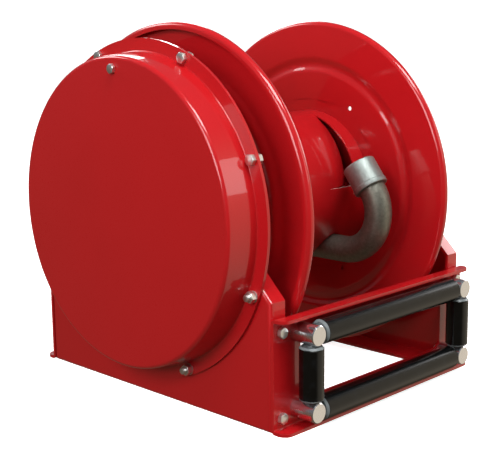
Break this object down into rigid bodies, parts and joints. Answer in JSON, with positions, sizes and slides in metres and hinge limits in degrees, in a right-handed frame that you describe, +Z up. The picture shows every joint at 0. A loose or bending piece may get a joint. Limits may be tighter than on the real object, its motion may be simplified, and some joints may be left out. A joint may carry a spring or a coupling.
{
  "type": "fire hose reel",
  "caption": "Spring-driven hose reel on a bent-steel frame, with a drum, gooseneck outlet, enclosed power spring and four-way roller guide.",
  "frame": {"origin": "on the floor, at the centre of the four base bolt holes", "axes": "X along the axle with the spring case at -X and the inlet swivel at +X, roller guide at the front at -Y, Z up"},
  "size_m": [0.6106, 0.5662, 0.5476],
  "materials": {
    "red_enamel": "gloss baked red enamel on steel sheet",
    "zinc_plated_steel": "bright zinc plate",
    "polished_steel": "polished plated steel",
    "galvanised_iron": "galvanised malleable iron, dull",
    "cast_iron": "machined cast iron",
    "bronze": "turned bearing bronze",
    "brass_body": "cast and turned brass",
    "black_polymer": "smooth black nylon tube",
    "grey_nylon": "moulded grey nylon",
    "spring_steel": "blued spring steel",
    "rubber": "nitrile rubber"
  },
  "bodies": {
    "frame": {"left_side_plate": "red_enamel", "right_side_plate": "red_enamel", "front_guide_plate": "red_enamel", "rear_cross_plate": "red_enamel", "plate_screws": "zinc_plated_steel", "plate_nuts": "zinc_plated_steel", "roller_posts": "polished_steel", "roller_post_screws": "zinc_plated_steel", "level_roller_axles": "polished_steel", "upright_roller_axles": "polished_steel", "spring_case_back": "red_enamel", "spring_case_cover": "red_enamel", "case_screws": "zinc_plated_steel", "case_screw_nuts": "zinc_plated_steel", "case_frame_bolts": "zinc_plated_steel", "case_frame_nuts": "zinc_plated_steel", "spring_anchor_stud": "zinc_plated_steel", "spring_anchor_screw": "zinc_plated_steel", "power_spring": "spring_steel", "left_bearing_housing": "cast_iron", "right_bearing_housing": "cast_iron", "left_bearing_bush": "bronze", "right_bearing_bush": "bronze", "bearing_housing_screws": "zinc_plated_steel", "latch_stud": "zinc_plated_steel", "latch_clip": "spring_steel", "latch_nut": "zinc_plated_steel", "latch_spring": "spring_steel"},
    "drum": {"drive_shaft": "polished_steel", "outlet_shaft": "polished_steel", "spring_arbor": "cast_iron", "left_reel_disc": "red_enamel", "right_reel_disc": "red_enamel", "drum_shell": "red_enamel", "left_hub": "cast_iron", "right_hub": "cast_iron", "hub_screws": "zinc_plated_steel", "hub_nuts": "zinc_plated_steel", "left_shaft_collar": "zinc_plated_steel", "right_shaft_collar": "zinc_plated_steel", "riser_pipe": "galvanised_iron", "gooseneck_pipe": "galvanised_iron", "hose_coupling": "galvanised_iron", "ratchet_wheel": "cast_iron", "swivel_clip": "spring_steel"},
    "latch_pawl": {"latch_pawl": "cast_iron"},
    "swivel": {"swivel_housing": "brass_body", "swivel_cap": "brass_body", "swivel_seals": "rubber", "swivel_washer": "bronze"},
    "top_roller": {"top_roller": "black_polymer", "top_roller_bushes": "grey_nylon"},
    "bottom_roller": {"bottom_roller": "black_polymer", "bottom_roller_bushes": "grey_nylon"},
    "left_roller": {"left_roller": "black_polymer", "left_roller_bushes": "grey_nylon"},
    "right_roller": {"right_roller": "black_polymer", "right_roller_bushes": "grey_nylon"}
  },
  "joints": [
    {"name": "drum_spin", "type": "hinge", "parent": "frame", "child": "drum", "pos_m": [0, 0, 0.2787], "axis": [1, 0, 0], "continuous": true, "deforming": ["power_spring"]},
    {"name": "pawl_lift", "type": "hinge", "parent": "frame", "child": "latch_pawl", "pos_m": [0.1615, 0.07, 0.2147], "axis": [1, 0, 0], "range_deg": [0, 15], "deforming": ["latch_spring"]},
    {"name": "swivel_spin", "type": "hinge", "parent": "frame", "child": "swivel", "pos_m": [0.25, 0, 0.2787], "axis": [1, 0, 0], "continuous": true},
    {"name": "top_roller_spin", "type": "hinge", "parent": "frame", "child": "top_roller", "pos_m": [0, -0.277, 0.1359], "axis": [1, 0, 0], "continuous": true},
    {"name": "bottom_roller_spin", "type": "hinge", "parent": "frame", "child": "bottom_roller", "pos_m": [0, -0.277, 0.0285], "axis": [1, 0, 0], "continuous": true},
    {"name": "left_roller_spin", "type": "hinge", "parent": "frame", "child": "left_roller", "pos_m": [-0.1736, -0.277, 0.0822], "axis": [0, 0, 1], "continuous": true},
    {"name": "right_roller_spin", "type": "hinge", "parent": "frame", "child": "right_roller", "pos_m": [0.1736, -0.277, 0.0822], "axis": [0, 0, 1], "continuous": true}
  ]
}
